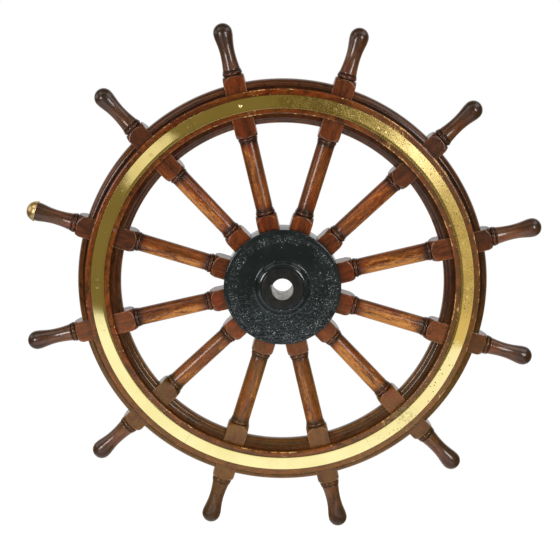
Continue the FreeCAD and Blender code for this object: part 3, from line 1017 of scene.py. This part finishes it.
def skin_height(r):
    """How uneven the plate is: most in its outer band, hardly at all on the collar."""
    if 130 < r < 147:
        return 0.75
    return 0.30 if r > 74 else 0.06


def build_hub_plate():
    profile = [(57.0, -29.0), (157.0, -28.5), (157.0, -36.0)]
    profile += arc(153.0, -42.5, 4.0, -4.0, 0, 90, 7)
    profile += [(151 - 1.5 * i, -46.4) for i in range(48)]
    collar = [(79.0, -46.45), (75.5, -47.0), (72.4, -48.9), (70.3, -51.8), (68.2, -54.8), (65.4, -57.3)]
    profile += flow(collar + [(62.3, -58.9), (59.4, -59.8), (57.9, -59.8), (57.0, -58.9)], 3)
    profile += [(57.0, -55.0)]
    rings = []
    for r, y in profile:
        ring = []
        for t in circle(360):
            px, pz = r * math.cos(t), r * math.sin(t)
            depth = y
            if y < -40:
                right = 0.5 + 0.5 * math.cos(t + 0.6)
                depth += skin_height(r) * (0.6 + 0.5 * right) * lumps((px, 0, pz))
            ring.append((px, depth, pz))
        rings.append(ring)
    verts, faces = tube(rings, wrap_rows=True)
    mesh = make_mesh("hub_plate", verts, faces, 60)
    mesh.materials.append(IRON)
    place("hub_plate", mesh, 0, "painted_iron", "hub_front_plate")


# ------------------------------------------------------------------ studio
ROOM, PAPER, UNDERSIDE = (0.215, 0.163, 0.066), (1.0, 1.0, 1.0), (0.62, 0.60, 0.57)


def build_world():
    """White to the camera. For the object: white paper behind, a dim room in front."""
    world = bpy.data.worlds.new("studio")
    bpy.context.scene.world = world
    world.use_nodes = True
    tree = world.node_tree
    tree.nodes.clear()
    out = tree.nodes.new("ShaderNodeOutputWorld")
    coords = tree.nodes.new("ShaderNodeTexCoord")
    split = tree.nodes.new("ShaderNodeSeparateXYZ")
    tree.links.new(coords.outputs["Generated"], split.inputs[0])

    def steps_product(limits):
        """Smooth steps of the direction's parts, each (axis, low, high), multiplied together."""
        product = tree.nodes.new("ShaderNodeMath")
        product.operation = "MULTIPLY"
        for (axis, low, high), socket in zip(limits, product.inputs):
            step = tree.nodes.new("ShaderNodeMapRange")
            step.interpolation_type = "SMOOTHSTEP"
            step.inputs["From Min"].default_value = low
            step.inputs["From Max"].default_value = high
            tree.links.new(split.outputs[axis], step.inputs["Value"])
            tree.links.new(step.outputs[0], socket)
        return product.outputs[0]

    colour = None
    layers = (
        (PAPER, ((1, 0.45, 0.85), (2, -0.40, -0.05))),
        (UNDERSIDE, ((2, -0.42, -0.60), (0, 0.60, 0.42))),
    )
    for target, limits in layers:
        mix = tree.nodes.new("ShaderNodeMix")
        mix.data_type = "RGBA"
        mix.inputs[6].default_value = (*ROOM, 1)
        mix.inputs[7].default_value = (*target, 1)
        tree.links.new(steps_product(limits), mix.inputs[0])
        if colour is not None:
            tree.links.new(colour, mix.inputs[6])
        colour = mix.outputs[2]
    lit = tree.nodes.new("ShaderNodeBackground")
    tree.links.new(colour, lit.inputs["Color"])
    seen = tree.nodes.new("ShaderNodeBackground")
    seen.inputs["Color"].default_value = (1, 1, 1, 1)
    path = tree.nodes.new("ShaderNodeLightPath")
    choose = tree.nodes.new("ShaderNodeMixShader")
    tree.links.new(path.outputs["Is Camera Ray"], choose.inputs[0])
    tree.links.new(lit.outputs[0], choose.inputs[1])
    tree.links.new(seen.outputs[0], choose.inputs[2])
    tree.links.new(choose.outputs[0], out.inputs["Surface"])


def build_floor():
    """White paper under and in front of the wheel, glowing so that it stays even. The stretch
    under the wheel would lie in its shade, so it is left out of the reflections."""
    level, left, right, middle, back = -0.725, -1.8, 0.84, -0.40, 0.35
    n = Nodes("pale_paper")
    speck = n.noise(n.coords, 40.0, 3.0)
    paper = n.mix(n.band(speck, 0.3, 0.7), (0.025, 0.025, 0.025), (0.035, 0.035, 0.035))
    n.finish(paper, 0.8, Emission_Strength=1.0, Emission_Color=(1.07, 1.06, 1.05, 1))
    stretches = {
        "floor_front": [(left, -3.06), (right, -2.12), (right, middle), (left, middle)],
        "floor_under": [(left, middle), (-left, middle), (-left, back), (left, back)],
    }
    for name, corners in stretches.items():
        mesh = bpy.data.meshes.new(name)
        mesh.from_pydata([(x, y, level) for x, y in corners], [], [(0, 1, 2, 3)])
        mesh.materials.append(n.material)
        floor = bpy.data.objects.new(name, mesh)
        bpy.context.scene.collection.objects.link(floor)
        floor.visible_glossy = name == "floor_front"


def card(name, place_at, wide, high, radiance, colour=(1, 1, 1)):
    """A soft light of known brightness, turned to the wheel's centre."""
    data = bpy.data.lights.new(name, "AREA")
    data.energy = radiance * math.pi * wide * high
    data.color = colour
    data.shape = "RECTANGLE"
    data.size = wide
    data.size_y = high
    lamp = bpy.data.objects.new(name, data)
    bpy.context.scene.collection.objects.link(lamp)
    lamp.location = place_at
    lamp.rotation_euler = (-Vector(place_at)).to_track_quat("-Z", "Y").to_euler()
    lamp.visible_camera = False


def build_studio():
    build_world()
    build_floor()
    card("overhead", (0.0, -0.9, 2.5), 1.6, 1.2, 0.6)
    card("top_right", (1.60, -0.50, 2.00), 2.0, 1.3, 1.8)
    card("top_left", (-1.42, -0.82, 2.02), 1.4, 1.2, 1.6)
    card("side_left", (-2.25, -0.08, 0.82), 1.4, 1.0, 1.4)
    card("softbox_left", (-1.80, -2.50, 0.45), 0.80, 0.90, 16.0)
    card("softbox_right", (1.60, -2.50, 0.75), 0.80, 1.15, 13.0)
    card("patch_left", (-0.850, -5.2, -0.31), 0.32, 0.32, 0.72, (1, 0.92, 0.80))
    card("patch_right", (0.870, -5.2, -0.28), 0.32, 0.32, 2.2, (1, 0.97, 1.00))
    card("glow_right", (0.66, -5.35, -0.10), 0.34, 0.28, 0.75, (1, 0.84, 0.56))
    card("side_right", (1.20, -5.3, -0.75), 0.6, 0.85, 0.50, (1, 0.82, 0.52))
    card("side_low", (1.25, -5.3, -1.50), 0.6, 0.60, 0.58, (1, 0.80, 0.48))


def build_camera():
    data = bpy.data.cameras.new("camera")
    data.sensor_width = 36.0
    data.lens = 85.83
    camera = bpy.data.objects.new("camera", data)
    bpy.context.scene.collection.objects.link(camera)
    target = Vector((-0.0066, 0.0, 0.0114))
    camera.location = (-0.0068, -3.5178, 0.7747)
    camera.rotation_euler = (target - camera.location).to_track_quat("-Z", "Y").to_euler()
    bpy.context.scene.camera = camera


build_camera()
build_studio()
build_spokes()
build_cap()
build_felloes()
build_facings()
build_strips()
build_discs()
build_hub_casting()
build_hub_plate()
bpy.context.scene.view_settings.view_transform = "Standard"

bpy.context.view_layer.update()
